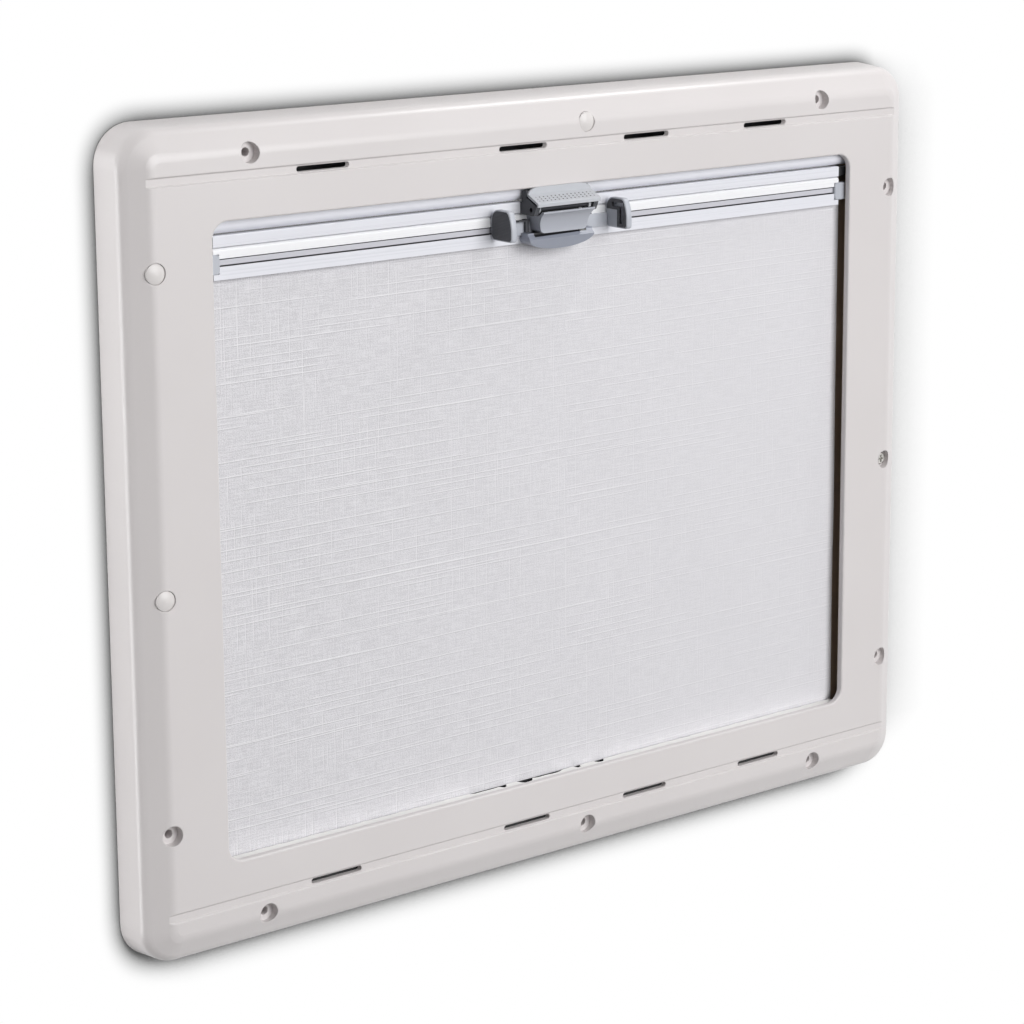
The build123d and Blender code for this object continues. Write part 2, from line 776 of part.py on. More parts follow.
# Outlines of a grip's tab and of its pads in the rail section
with BuildSketch() as tab_shape:
    with BuildLine():
        Polyline(
            (bar_gap, 0),
            (grip_shoulder_out, grip_shoulder_z),
            (grip_front_top_out, grip_top_z),
            (grip_out, grip_brow_z),
            (grip_out, grip_front_low_z),
            (grip_toe_out, grip_toe_z),
            (bar_gap, grip_base_z),
            close=True,
        )
    make_face()
    fillet(vertices(), radius=grip_round)

with BuildSketch() as pad_shape:
    add(tab_shape.sketch)
    offset(amount=-grip_rim, mode=Mode.REPLACE)
    with Locations(((bar_front + bar_gap) / 2, grip_base_z / 2)):
        Rectangle(bar_front + bar_gap, 2 * grip_out, mode=Mode.SUBTRACT)

# Squeeze grips: a rimmed tab on a bar that slides in the blind rail's slot, with two pads
pad_depth = (grip_width - grip_core) / 2
for side, sign in (("left", -1), ("right", 1)):
    grip_plane = rail_section.offset(-sign * (grip_half_gap + grip_width / 2))
    bar_length = grip_half_gap + grip_width / 2 - bar_end_x
    bar_x = sign * (bar_end_x + bar_length / 2)
    with BuildPart() as grip:
        with BuildSketch(grip_plane):
            add(tab_shape.sketch)
        extrude(amount=grip_width / 2, both=True)
        for face_sign in (-1, 1):
            with BuildSketch(grip_plane.offset(face_sign * grip_core / 2)):
                add(pad_shape.sketch)
            extrude(amount=face_sign * pad_depth, mode=Mode.SUBTRACT)
        with BuildSketch(rail_face.offset(bar_gap)):
            with Locations((bar_x, bar_top_z - bar_height / 2)):
                Rectangle(bar_length, bar_height)
        extrude(amount=bar_thickness)
        with BuildSketch(rail_face.offset(bar_gap)):
            with Locations((bar_x, -bead_height - slot_height / 2)):
                Rectangle(bar_length, slot_height - 2 * key_clearance)
        extrude(amount=-(slot_depth + bar_gap - key_clearance))
    save(grip, f"grip_{side}")

    with BuildPart() as grip_pad:
        for face_sign in (-1, 1):
            with BuildSketch(grip_plane.offset(face_sign * grip_core / 2)):
                add(pad_shape.sketch)
            extrude(amount=face_sign * (pad_depth + pad_proud))
        with BuildSketch(grip_plane.offset(sign * (grip_width / 2 + pad_proud))):
            with Locations(
                (recess_leg_out + recess_leg_width / 2, recess_top_z - recess_leg_height / 2)
            ):
                Rectangle(recess_leg_width, recess_leg_height)
            with Locations(
                (
                    recess_leg_out + recess_leg_width - recess_arm_length / 2,
                    recess_top_z - recess_arm_height / 2,
                )
            ):
                Rectangle(recess_arm_length, recess_arm_height)
        extrude(amount=-sign * grip_recess_depth, mode=Mode.SUBTRACT)
    save(grip_pad, f"grip_pad_{side}")
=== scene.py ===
import json
import math

import bpy
from mathutils import Matrix, Vector


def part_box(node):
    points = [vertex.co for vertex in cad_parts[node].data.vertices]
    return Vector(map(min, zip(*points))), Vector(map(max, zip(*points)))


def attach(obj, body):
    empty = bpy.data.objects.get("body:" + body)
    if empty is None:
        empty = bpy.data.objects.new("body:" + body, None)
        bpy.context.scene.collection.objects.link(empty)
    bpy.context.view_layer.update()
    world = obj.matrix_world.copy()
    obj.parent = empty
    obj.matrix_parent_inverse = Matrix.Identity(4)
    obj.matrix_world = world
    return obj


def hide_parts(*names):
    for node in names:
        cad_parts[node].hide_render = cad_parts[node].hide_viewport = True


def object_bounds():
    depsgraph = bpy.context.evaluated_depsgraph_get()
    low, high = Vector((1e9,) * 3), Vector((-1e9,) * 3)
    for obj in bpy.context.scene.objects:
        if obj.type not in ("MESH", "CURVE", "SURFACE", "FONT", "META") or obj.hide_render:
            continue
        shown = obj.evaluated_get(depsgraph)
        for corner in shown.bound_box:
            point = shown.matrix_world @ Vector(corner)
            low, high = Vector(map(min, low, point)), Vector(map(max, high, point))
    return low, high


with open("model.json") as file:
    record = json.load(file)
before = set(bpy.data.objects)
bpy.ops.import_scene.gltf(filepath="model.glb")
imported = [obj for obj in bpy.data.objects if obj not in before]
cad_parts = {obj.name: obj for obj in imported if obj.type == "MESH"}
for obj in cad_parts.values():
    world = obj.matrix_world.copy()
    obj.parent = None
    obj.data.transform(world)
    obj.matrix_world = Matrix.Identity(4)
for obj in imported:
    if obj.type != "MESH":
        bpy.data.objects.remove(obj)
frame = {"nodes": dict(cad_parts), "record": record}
cad_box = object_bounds()
nodes = frame["nodes"]


# Node helpers
def new_material(name):
    """A new material, its node tree and its Principled shader."""
    material = bpy.data.materials.new(name)
    material.use_nodes = True
    tree = material.node_tree
    return material, tree, tree.nodes["Principled BSDF"]


def add(tree, kind, **values):
    """A new node with its plain properties set."""
    node = tree.nodes.new(kind)
    for key, value in values.items():
        setattr(node, key, value)
    return node


def split(tree, places):
    """The X, Y and Z of places."""
    apart = add(tree, "ShaderNodeSeparateXYZ")
    tree.links.new(places, apart.inputs["Vector"])
    return apart.outputs["X"], apart.outputs["Y"], apart.outputs["Z"]


def stretched_noise(tree, places, scale, detail=2.0, roughness=0.5):
    """Noise read at places stretched by scale, one number per axis, in repeats per metre."""
    mapping = add(tree, "ShaderNodeMapping")
    mapping.inputs["Scale"].default_value = scale
    noise = add(tree, "ShaderNodeTexNoise")
    noise.inputs["Scale"].default_value = 1.0
    noise.inputs["Detail"].default_value = detail
    noise.inputs["Roughness"].default_value = roughness
    tree.links.new(places, mapping.inputs["Vector"])
    tree.links.new(mapping.outputs["Vector"], noise.inputs["Vector"])
    return noise.outputs["Fac"]


def ramp(tree, value, low, high, to_low=0.0, to_high=1.0):
    """Value spread from low..high to to_low..to_high and held at the ends."""
    spread = add(tree, "ShaderNodeMapRange")
    spread.inputs["From Min"].default_value = low
    spread.inputs["From Max"].default_value = high
    spread.inputs["To Min"].default_value = to_low
    spread.inputs["To Max"].default_value = to_high
    tree.links.new(value, spread.inputs["Value"])
    return spread.outputs["Result"]


def combine(tree, how, first, second=0.0):
    """First and second, each a socket or a number, joined by a Math node; some use only the first."""
    joined = add(tree, "ShaderNodeMath", operation=how)
    for socket, value in zip(joined.inputs, (first, second)):
        if isinstance(value, (int, float)):
            socket.default_value = value
        else:
            tree.links.new(value, socket)
    return joined.outputs[0]


def mix_colours(tree, factor, first, second):
    """First and second, each a socket or a colour, mixed by factor."""
    mixed = add(tree, "ShaderNodeMix", data_type="RGBA")
    tree.links.new(factor, mixed.inputs["Factor"])
    for socket, value in zip((mixed.inputs[6], mixed.inputs[7]), (first, second)):
        if isinstance(value, tuple):
            socket.default_value = (*value, 1.0)
        else:
            tree.links.new(value, socket)
    return mixed.outputs[2]


def bump(tree, shader, height, distance, strength=1.0, edge=0.0):
    """Height, in shares of distance in metres, as a bump on the shader; edge rounds sharp edges."""
    bumped = add(tree, "ShaderNodeBump")
    if edge:
        rounded = add(tree, "ShaderNodeBevel", samples=4)
        rounded.inputs["Radius"].default_value = edge
        tree.links.new(rounded.outputs["Normal"], bumped.inputs["Normal"])
    bumped.inputs["Strength"].default_value = strength
    bumped.inputs["Distance"].default_value = distance
    tree.links.new(height, bumped.inputs["Height"])
    tree.links.new(bumped.outputs["Normal"], shader.inputs["Normal"])


def new_group(name, inputs, outputs):
    """A shader node group with float inputs and outputs of the given names."""
    group = bpy.data.node_groups.new(name, "ShaderNodeTree")
    for label, default in inputs.items():
        socket = group.interface.new_socket(label, in_out="INPUT", socket_type="NodeSocketFloat")
        socket.default_value = default
    for label in outputs:
        group.interface.new_socket(label, in_out="OUTPUT", socket_type="NodeSocketFloat")
    return group, group.nodes.new("NodeGroupInput"), group.nodes.new("NodeGroupOutput")


def moulded_grain_group():
    """Fine spark grain and slow flow marks of moulded plastic."""
    group, given, result = new_group(
        "moulded grain", {"Grain Per Metre": 1400.0, "Flow Per Metre": 7.0}, ("Flow", "Grain")
    )
    places = add(group, "ShaderNodeTexCoord").outputs["Object"]
    for label, rate, detail in (("Grain", "Grain Per Metre", 3.0), ("Flow", "Flow Per Metre", 2.0)):
        noise = add(group, "ShaderNodeTexNoise")
        noise.inputs["Detail"].default_value = detail
        group.links.new(places, noise.inputs["Vector"])
        group.links.new(given.outputs[rate], noise.inputs["Scale"])
        group.links.new(noise.outputs["Fac"], result.inputs[label])
    return group


moulded_grain = moulded_grain_group()


def plastic_body(tree, shader, light, dark, gloss, grain_rate=1400.0):
    """The colour of plastic with slow flow marks, and its grain, which also sets the roughness."""
    grain = add(tree, "ShaderNodeGroup", node_tree=moulded_grain)
    grain.inputs["Grain Per Metre"].default_value = grain_rate
    colour = mix_colours(tree, ramp(tree, grain.outputs["Flow"], 0.35, 0.65), dark, light)
    uneven = ramp(tree, grain.outputs["Grain"], 0.3, 0.7, gloss - 0.04, gloss + 0.06)
    tree.links.new(uneven, shader.inputs["Roughness"])
    return colour, grain.outputs["Grain"]


def moulded_plastic(name, light, dark, gloss, grain_depth, grain_rate=1400.0, edge=0.0):
    """Plastic with two near colours in slow flow marks, and a fine moulded grain."""
    material, tree, shader = new_material(name)
    colour, grain = plastic_body(tree, shader, light, dark, gloss, grain_rate)
    tree.links.new(colour, shader.inputs["Base Color"])
    bump(tree, shader, grain, grain_depth, 0.6, edge)
    return material


def coated_extrusion(name, light, dark, gloss, zones=()):
    """Coated aluminium with faint draw lines along X; a zone is a mask in Y and Z with its colour."""
    material, tree, shader = new_material(name)
    places = add(tree, "ShaderNodeTexCoord").outputs["Object"]
    lines = stretched_noise(tree, places, (1.2, 900.0, 900.0), 3.0)
    clouds = stretched_noise(tree, places, (9.0, 30.0, 30.0))
    tone = combine(
        tree, "ADD", combine(tree, "MULTIPLY", lines, 0.6), combine(tree, "MULTIPLY", clouds, 0.4)
    )
    coat = mix_colours(tree, ramp(tree, tone, 0.3, 0.7), dark, light)
    y, z = split(tree, places)[1:]
    for mask, colour in zones:
        coat = mix_colours(tree, mask(tree, y, z), coat, colour)
    tree.links.new(coat, shader.inputs["Base Color"])
    tree.links.new(ramp(tree, lines, 0.3, 0.7, gloss - 0.05, gloss + 0.08), shader.inputs["Roughness"])
    bump(tree, shader, lines, 0.00003, 0.4)
    return material


def band(tree, value, low, high, edge):
    """One between low and high, falling to zero within edge outside them."""
    rising = ramp(tree, value, low - edge, low)
    return combine(tree, "MULTIPLY", rising, ramp(tree, value, high, high + edge, 1.0, 0.0))


# Heights on the blind rail's face, from its lower edge, and depths from its front
lower_line, upper_line = (0.00955, 0.0105), (0.01445, 0.0154)
slot_heights, bead_foot = (0.0106, 0.0144), 0.0155
line_depths, slot_depths = (0.0003, 0.0006), (0.0010, 0.0014)
crisp = 0.00005


def rail_line_shade(tree, y, z):
    """One inside the two narrow lines of the blind rail, on each side of its slot, which are painted
    near-black as painted shade.
    """
    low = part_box("blind_rail")[0]
    lower, upper = (
        band(tree, z, low.z + foot, low.z + top, crisp) for foot, top in (lower_line, upper_line)
    )
    sunk = ramp(tree, y, low.y + line_depths[0], low.y + line_depths[1])
    return combine(tree, "MULTIPLY", combine(tree, "MAXIMUM", lower, upper), sunk)


def rail_bead_highlight(tree, y, z):
    """One on the round bead along the blind rail's top, which is painted near-white as a painted
    highlight.
    """
    low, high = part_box("blind_rail")
    return band(tree, z, low.z + bead_foot, high.z, 2 * crisp)


def rail_slot_shade(tree, y, z):
    """One on the sunk face between the blind rail's two lines, which is painted darker grey as painted
    shade of the recess.
    """
    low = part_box("blind_rail")[0]
    sunk = ramp(tree, y, low.y + slot_depths[0], low.y + slot_depths[1])
    face = band(tree, z, low.z + slot_heights[0], low.z + slot_heights[1], crisp)
    return combine(tree, "MULTIPLY", face, sunk)


def hidden_cover_shade(tree, y, z):
    """One where the frame's border hides a roller cover, above or below the opening; the cover is painted
    near-black there as painted shade.
    """
    border_edge, fade = 0.2412, 0.001
    return ramp(tree, combine(tree, "ABSOLUTE", z), border_edge, border_edge + fade)


# Finishes of the moulded and metal pieces
cream_plastic = moulded_plastic(
    "cream moulded plastic", (0.715, 0.682, 0.680), (0.698, 0.664, 0.662), 0.31, 0.00001, edge=0.0012
)
cap_plastic = moulded_plastic(
    "cream cap plastic", (0.74, 0.71, 0.70), (0.72, 0.69, 0.68), 0.34, 0.00001
)
light_fitting = moulded_plastic(
    "light grey fitting", (0.52, 0.54, 0.59), (0.48, 0.50, 0.55), 0.34, 0.00001, 2400.0
)
handle_plastic = moulded_plastic(
    "handle grey fitting", (0.45, 0.465, 0.515), (0.40, 0.415, 0.465), 0.32, 0.00001, 2400.0
)
dark_fitting = moulded_plastic(
    "dark grey fitting", (0.055, 0.058, 0.068), (0.045, 0.047, 0.055), 0.5, 0.00002, 2200.0
)
black_runner = moulded_plastic(
    "black runner", (0.012, 0.012, 0.014), (0.008, 0.008, 0.009), 0.45, 0.00001
)
# Painted light: the guide's dark brown painted lighter so it shows brown in the shade of the reveal
lightened_brown_guide = moulded_plastic(
    "brown guide", (0.36, 0.28, 0.21), (0.30, 0.23, 0.17), 0.55, 0.00002
)
pale_bracket = moulded_plastic(
    "pale bracket", (0.62, 0.62, 0.60), (0.58, 0.575, 0.56), 0.45, 0.00002
)
pale_pile = moulded_plastic(
    "pale pile", (0.92, 0.91, 0.89), (0.86, 0.85, 0.83), 0.85, 0.0001, 3200.0
)
rail_coating = coated_extrusion(
    "white rail coating", (0.825, 0.832, 0.885), (0.775, 0.782, 0.835), 0.3,
    [
        # Painted highlight: the bead near-white
        (rail_bead_highlight, (0.93, 0.935, 0.955)),
        # Painted shade: the sunk slot face darker grey
        (rail_slot_shade, (0.61, 0.61, 0.66)),
        # Painted shade: the two narrow lines near-black
        (rail_line_shade, (0.02, 0.02, 0.022)),
    ],
)
cassette_coating = coated_extrusion(
    "pale cassette coating", (0.86, 0.865, 0.925), (0.82, 0.825, 0.885), 0.35,
    # Painted shade: the covers near-black where the frame's border hides them
    [(hidden_cover_shade, (0.012, 0.012, 0.014))],
)
tube_metal = coated_extrusion("roller tube metal", (0.5, 0.51, 0.52), (0.42, 0.43, 0.44), 0.35)


def dimpled_lever():
    """Light fitting plastic with three rows of dimples across the lever's thumb shelf, the dimples
    painted near-black as painted shade.
    """
    material, tree, shader = new_material("dimpled lever")
    x, z = split(tree, add(tree, "ShaderNodeTexCoord").outputs["Object"])[::2]
    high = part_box("latch_lever")[1]
    pitch, radius, shelf_rise = 0.0039, 0.00072, 0.43
    end_margin, end_fade = 0.0038, 0.0001
    first_row, row_step, row_count = 0.0072, 0.0012, 3
    across = combine(tree, "PINGPONG", combine(tree, "DIVIDE", x, pitch), 0.5)
    side = combine(tree, "MULTIPLY", across, pitch)
    shaded_dimples = None
    for row in range(row_count):
        row_z = high.z - first_row - row * row_step
        rise = combine(tree, "DIVIDE", combine(tree, "SUBTRACT", z, row_z), shelf_rise)
        square = combine(
            tree, "ADD", combine(tree, "POWER", side, 2.0), combine(tree, "MULTIPLY", rise, rise)
        )
        shaded_dimple = ramp(tree, combine(tree, "SQRT", square), radius * 0.75, radius * 1.1, 1.0, 0.0)
        shaded_dimples = shaded_dimple if shaded_dimples is None else combine(tree, "MAXIMUM", shaded_dimples, shaded_dimple)
    last_x = high.x - end_margin
    within = ramp(tree, combine(tree, "ABSOLUTE", x), last_x, last_x + end_fade, 1.0, 0.0)
    shaded_dimples = combine(tree, "MULTIPLY", shaded_dimples, within)
    plastic = plastic_body(tree, shader, (0.54, 0.555, 0.59), (0.50, 0.515, 0.55), 0.34)[0]
    # Painted shade: the dimples near-black
    tree.links.new(mix_colours(tree, shaded_dimples, plastic, (0.02, 0.02, 0.024)), shader.inputs["Base Color"])
    bump(tree, shader, combine(tree, "SUBTRACT", 1.0, shaded_dimples), 0.0004, 0.8)
    return material


def lip_fitting():
    """The fitting's blue grey painted darker, as painted shade on the lip's downward face, with a painted
    shadow along the lip's top under the handle, wider on the left.
    """
    material, tree, shader = new_material("pull lip fitting")
    x, z = split(tree, add(tree, "ShaderNodeTexCoord").outputs["Object"])[::2]
    lip_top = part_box("pull_lip")[1].z
    handle_low, handle_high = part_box("blind_handle")
    left_shadow, right_shadow, crisp_edge = 0.0030, 0.0023, 0.0001
    shadow_depth = ramp(tree, x, handle_low.x, handle_high.x, left_shadow, right_shadow)
    under = combine(tree, "SUBTRACT", combine(tree, "SUBTRACT", lip_top, z), shadow_depth)
    # Painted shadow along the lip's top where the handle hangs over it
    dark = combine(
        tree,
        "MULTIPLY",
        ramp(tree, under, -crisp_edge, crisp_edge, 1.0, 0.0),
        band(tree, x, handle_low.x, handle_high.x, 2 * crisp_edge),
    )
    # The darker blue grey is painted shade of the light fitting colour
    plastic = plastic_body(tree, shader, (0.33, 0.35, 0.41), (0.28, 0.30, 0.36), 0.32)[0]
    tree.links.new(mix_colours(tree, dark, plastic, (0.012, 0.012, 0.014)), shader.inputs["Base Color"])
    return material


def zinc_steel():
    """Bright plated steel, a little cloudy."""
    material, tree, shader = new_material("zinc plated steel")
    places = add(tree, "ShaderNodeTexCoord").outputs["Object"]
    spots = stretched_noise(tree, places, (700.0, 700.0, 700.0), 4.0)
    tree.links.new(
        mix_colours(tree, ramp(tree, spots, 0.3, 0.7), (0.42, 0.41, 0.39), (0.62, 0.61, 0.58)),
        shader.inputs["Base Color"],
    )
    tree.links.new(ramp(tree, spots, 0.3, 0.7, 0.22, 0.38), shader.inputs["Roughness"])
    shader.inputs["Metallic"].default_value = 1.0
    return material


def grip_rubber():
    """Dark soft plastic with a fine diamond pattern on the grips' faces."""
    material, tree, shader = new_material("grip rubber")
    places = add(tree, "ShaderNodeTexCoord").outputs["Object"]
    turned = add(tree, "ShaderNodeMapping")
    turned.inputs["Rotation"].default_value = (math.radians(45.0), 0.0, 0.0)
    turned.inputs["Scale"].default_value = (0.0, 3900.0, 3900.0)
    tree.links.new(places, turned.inputs["Vector"])
    y, z = split(tree, turned.outputs["Vector"])[1:]
    ridges = combine(tree, "MULTIPLY", combine(tree, "SINE", y), combine(tree, "SINE", z))
    tree.links.new(
        mix_colours(tree, ramp(tree, ridges, -1.0, 1.0), (0.04, 0.042, 0.05), (0.075, 0.078, 0.09)),
        shader.inputs["Base Color"],
    )
    tree.links.new(ramp(tree, ridges, -1.0, 1.0, 0.6, 0.45), shader.inputs["Roughness"])
    bump(tree, shader, ridges, 0.0002, 0.7)
    return material


def slub_threads(tree, along, across, pitch, length, start):
    """Thick stretches of one thread in each pitch, where noise is above start, and the strip under each,
    which takes painted shade.
    """
    threads_apart, thickening = 7.31, 0.05
    half_thread, soft_edge = 0.00034, 0.00014
    place = combine(tree, "DIVIDE", across, pitch)
    thread = combine(tree, "FLOOR", place)
    spot = add(tree, "ShaderNodeCombineXYZ")
    tree.links.new(combine(tree, "DIVIDE", along, length), spot.inputs["X"])
    tree.links.new(combine(tree, "MULTIPLY", thread, threads_apart), spot.inputs["Y"])
    noise = add(tree, "ShaderNodeTexNoise")
    noise.inputs["Scale"].default_value = 1.0
    noise.inputs["Detail"].default_value = 0.0
    tree.links.new(spot.outputs["Vector"], noise.inputs["Vector"])
    thick = ramp(tree, noise.outputs["Fac"], start, start + thickening)
    share = combine(tree, "FRACT", place)
    half, soft = half_thread / pitch, soft_edge / pitch
    crest = band(tree, share, 0.5 - half + soft, 0.5 + half - soft, soft)
    shaded = band(tree, share, 0.5 + half + soft, 0.5 + 3 * half - soft, soft)
    return combine(tree, "MULTIPLY", thick, crest), combine(tree, "MULTIPLY", thick, shaded)


def blind_weave():
    """White slub cloth: fine cross weave, with thick stretches of weft and fewer of warp; each thick
    stretch is painted lighter on its crest, partly its own tone and partly a painted highlight, with
    painted shade under it.
    """
    material, tree, shader = new_material("white slub cloth")
    places = add(tree, "ShaderNodeUVMap").outputs["UV"]
    x, y = split(tree, places)[:2]
    weft = stretched_noise(tree, places, (60.0, 900.0, 1.0), 1.0)
    warp = stretched_noise(tree, places, (900.0, 80.0, 1.0), 1.0)
    knots = stretched_noise(tree, places, (1200.0, 1000.0, 1.0), 1.0)
    low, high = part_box("blind_fabric")
    relief = ramp(tree, x, low.x * 0.8, high.x * 0.6, 1.0, 0.35)
    patches = ramp(tree, stretched_noise(tree, places, (14.0, 14.0, 1.0), 1.0), 0.4, 0.6, 0.35, 0.75)
    crests, shades = [], []
    for along, across, weight, sets in (
        (x, y, 1.0, ((0.0057, 0.15, 0.54), (0.0083, 0.20, 0.53))),
        (y, x, patches, ((0.0071, 0.06, 0.55), (0.0113, 0.08, 0.54))),
    ):
        for pitch, length, begin in sets:
            top, flank = slub_threads(tree, along, across, pitch, length, begin)
            crests.append(combine(tree, "MULTIPLY", top, weight))
            shades.append(combine(tree, "MULTIPLY", flank, weight))
    crest, shaded = crests[0], shades[0]
    for other, dim in zip(crests[1:], shades[1:]):
        crest = combine(tree, "MAXIMUM", crest, other)
        shaded = combine(tree, "MAXIMUM", shaded, dim)
    crest = combine(tree, "MULTIPLY", crest, relief)
    shaded = combine(tree, "MULTIPLY", shaded, combine(tree, "MULTIPLY", relief, 0.7))
    threads = combine(
        tree, "ADD", combine(tree, "MULTIPLY", weft, 0.3), combine(tree, "MULTIPLY", warp, 0.2)
    )
    threads = combine(tree, "ADD", threads, combine(tree, "MULTIPLY", knots, 0.5))
    weave = combine(
        tree, "MULTIPLY", combine(tree, "SUBTRACT", ramp(tree, threads, 0.41, 0.59), 0.5), relief
    )
    fine = mix_colours(
        tree, combine(tree, "ADD", weave, 0.5), (0.650, 0.640, 0.667), (0.818, 0.808, 0.837)
    )
    # Painted shade under each thick stretch
    fine = mix_colours(tree, shaded, fine, (0.55, 0.54, 0.565))
    # The crests painted lighter: the yarn's own tone and a painted highlight
    tree.links.new(mix_colours(tree, crest, fine, (0.92, 0.91, 0.935)), shader.inputs["Base Color"])
    tree.links.new(ramp(tree, crest, 0.0, 1.0, 0.9, 0.7), shader.inputs["Roughness"])
    shader.inputs["Sheen Weight"].default_value = 0.05
    height = combine(
        tree, "ADD", combine(tree, "MULTIPLY", weave, 0.5), combine(tree, "MULTIPLY", crest, 0.5)
    )
    bump(tree, shader, height, 0.0003, 0.6)
    return material


def net_weave():
    """Dark netting: fine square mesh whose holes are open."""
    material, tree, shader = new_material("insect netting")
    x, y = split(tree, add(tree, "ShaderNodeUVMap").outputs["UV"])[:2]
    strand_rate = 4200.0
    across, along = (
        combine(tree, "SINE", combine(tree, "MULTIPLY", axis, strand_rate)) for axis in (x, y)
    )
    strands = combine(tree, "MAXIMUM", across, along)
    tree.links.new(
        mix_colours(tree, ramp(tree, strands, -0.5, 1.0), (0.02, 0.02, 0.022), (0.06, 0.06, 0.064)),
        shader.inputs["Base Color"],
    )
    tree.links.new(ramp(tree, strands, 0.0, 0.2), shader.inputs["Alpha"])
    shader.inputs["Roughness"].default_value = 0.7
    bump(tree, shader, strands, 0.0002)
    return material


finishes = {
    "frame_plastic": cream_plastic,
    "cap_plastic": cap_plastic,
    "screw_steel": zinc_steel(),
    "rail_coating": rail_coating,
    "cassette_coating": cassette_coating,
    "guide_plastic": lightened_brown_guide,
    "bracket_plastic": pale_bracket,
    "roller_tube": tube_metal,
    "net_cloth": net_weave(),
    "blind_cloth": blind_weave(),
    "runner_grey": light_fitting,
    "runner_black": black_runner,
    "fitting_dark": dark_fitting,
    "fitting_light": light_fitting,
    "grip_rubber": grip_rubber(),
}
own_finishes = {
    "latch_cradle": dark_fitting,
    "latch_lever": dimpled_lever(),
    "pull_lip": lip_fitting(),
    "blind_handle": handle_plastic,
}
for subpart in frame["record"]["subparts"]:
    piece = nodes[subpart["node"]]
    piece.data.materials.clear()
    piece.data.materials.append(own_finishes.get(subpart["node"], finishes[subpart["material_slot"]]))


# Cloths: each is one sheet, stretched from its rail to its roller and wound on it
def wound_sheet(name, roller, rail_z, turn_sense, turns, columns, thickness, ripple):
    """A sheet from a rail's edge to the front of a roll, then round it in a closing spiral."""
    roller_low, roller_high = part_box(roller)
    cloth_low, cloth_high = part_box(name)
    middle = (roller_low + roller_high) / 2
    bare_radius = (roller_high.z - roller_low.z) / 2 + thickness
    full_radius = middle.y - cloth_low.y - thickness / 2
    row_height, rows_per_turn = 0.008, 24
    hanging_rows = max(2, round(abs(rail_z - middle.z) / row_height))
    winding_rows = turns * rows_per_turn
    path = [
        (middle.y - full_radius, rail_z + (middle.z - rail_z) * row / hanging_rows)
        for row in range(hanging_rows)
    ]
    for row in range(winding_rows + 1):
        share = row / winding_rows
        radius = full_radius + (bare_radius - full_radius) * share
        angle = math.pi + turn_sense * share * turns * 2 * math.pi
        path.append((middle.y + radius * math.cos(angle), middle.z + radius * math.sin(angle)))
    lengths = [0.0]
    for (y0, z0), (y1, z1) in zip(path, path[1:]):
        lengths.append(lengths[-1] + math.hypot(y1 - y0, z1 - z0))

    bpy.ops.object.select_all(action="DESELECT")
    rows = len(path) - 1
    bpy.ops.mesh.primitive_grid_add(x_subdivisions=columns, y_subdivisions=rows, size=1.0)
    sheet = bpy.context.object
    sheet.name = name + "_sheet"
    width = cloth_high.x - cloth_low.x
    row_of = [round((vertex.co.y + 0.5) * rows) for vertex in sheet.data.vertices]
    for vertex, row in zip(sheet.data.vertices, row_of):
        y, z = path[row]
        x = vertex.co.x * width
        hanging = max(0.0, 1.0 - row / hanging_rows)
        fade = math.sin(math.pi * hanging)
        diagonal = math.sin(38.0 * x + 27.0 * z) + 0.6 * math.sin(61.0 * x - 44.0 * z + 1.3)
        vertex.co = (x, y + ripple * fade * diagonal, z)
    uv = sheet.data.uv_layers.active.data
    for loop in sheet.data.loops:
        place = sheet.data.vertices[loop.vertex_index].co
        uv[loop.index].uv = (place.x, lengths[row_of[loop.vertex_index]])
    solidify = sheet.modifiers.new("cloth thickness", "SOLIDIFY")
    solidify.thickness = thickness
    solidify.offset = 0.0
    bpy.ops.object.modifier_apply(modifier=solidify.name)
    bpy.ops.object.shade_smooth()
    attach(sheet, "window")
    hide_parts(name)
    return sheet, (width, lengths[-1])


rail_hold = 0.002
blind_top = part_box("blind_fabric")[1].z + rail_hold
blind_sheet, blind_cut = wound_sheet(
    "blind_fabric", "blind_roller", blind_top, 1, turns=4, columns=80, thickness=0.0004, ripple=0.00025
)
blind_sheet.data.materials.append(finishes["blind_cloth"])

screen_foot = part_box("flyscreen")[0].z - rail_hold
screen_sheet, screen_cut = wound_sheet(
    "flyscreen", "screen_roller", screen_foot, -1, turns=7, columns=8, thickness=0.0003, ripple=0.0
)
screen_sheet.data.materials.append(finishes["net_cloth"])


# Pieces modelled by hand
def start(primitive, name, **values):
    """A new primitive by itself in the selection, with its name."""
    bpy.ops.object.select_all(action="DESELECT")
    primitive(**values)
    piece = bpy.context.object
    piece.name = name
    return piece


def settle(piece):
    """The piece's place and size applied to its mesh."""
    bpy.ops.object.select_all(action="DESELECT")
    piece.select_set(True)
    bpy.context.view_layer.objects.active = piece
    bpy.ops.object.transform_apply(location=True, rotation=True, scale=True)


def apply_modifier(piece, kind, **values):
    """One modifier with its values, applied at once."""
    modifier = piece.modifiers.new(kind.lower(), kind)
    for key, value in values.items():
        setattr(modifier, key, value)
    bpy.ops.object.select_all(action="DESELECT")
    bpy.context.view_layer.objects.active = piece
    bpy.ops.object.modifier_apply(modifier=modifier.name)


def block(name, low, high):
    """A box between two corners."""
    size = Vector(high) - Vector(low)
    piece = start(
        bpy.ops.mesh.primitive_cube_add, name, size=1.0, location=(Vector(low) + Vector(high)) / 2
    )
    piece.scale = size
    settle(piece)
    return piece


def cut(piece, cutters):
    """The cutters taken out of the piece and deleted."""
    for cutter in cutters:
        apply_modifier(piece, "BOOLEAN", operation="DIFFERENCE", object=cutter, solver="EXACT")
        bpy.data.objects.remove(cutter)


def join(piece, others):
    """The others joined to the piece as one mesh."""
    bpy.ops.object.select_all(action="DESELECT")
    for other in [piece, *others]:
        other.select_set(True)
    bpy.context.view_layer.objects.active = piece
    bpy.ops.object.join()


